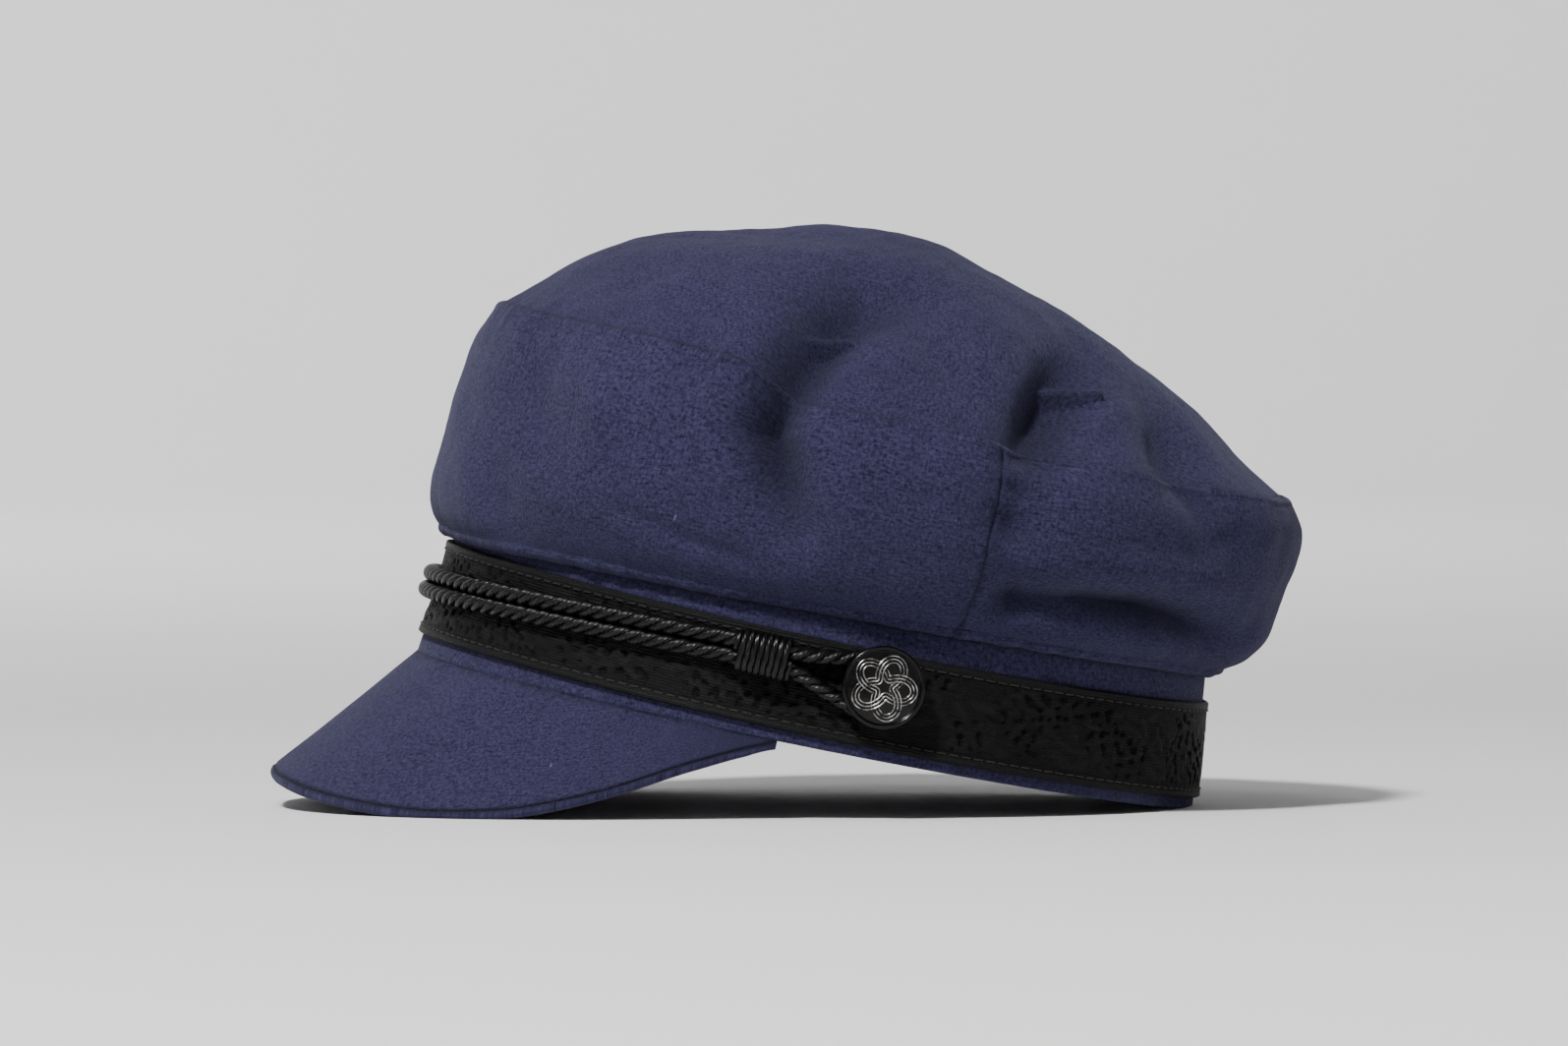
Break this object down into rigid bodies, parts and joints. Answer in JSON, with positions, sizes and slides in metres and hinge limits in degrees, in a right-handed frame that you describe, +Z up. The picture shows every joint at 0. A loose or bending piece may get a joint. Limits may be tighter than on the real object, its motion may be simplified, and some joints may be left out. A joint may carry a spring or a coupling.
{
  "type": "sailor cap",
  "caption": "Soft cloth cap with a full crown, a stiff head band, a curved peak, a woven ribbon, and a doubled cord held by two side buttons.",
  "frame": {"origin": "on the floor that the cap stands on, under the middle of its outer box", "axes": "+Z up, -Y towards the front where the peak is, +X towards the wearer's left"},
  "size_m": [0.1938, 0.2662, 0.1503],
  "materials": {
    "cloth": "navy slubbed plain weave of linen and cotton, dry and matte",
    "ribbon": "black woven ribbon with a raised leaf pattern and stitched edges",
    "cord": "black twisted cord with a silky sheen",
    "button": "glossy black with a pale metallic knot"
  },
  "bodies": {
    "root": {"crown_top": "cloth", "crown_side_front": "cloth", "crown_side_back": "cloth", "head_band": "cloth", "peak": "cloth", "ribbon": "ribbon", "front_cord": "cord", "cord_whipping_left": "cord", "cord_whipping_right": "cord", "button_left": "button", "button_right": "button"}
  },
  "joints": []
}
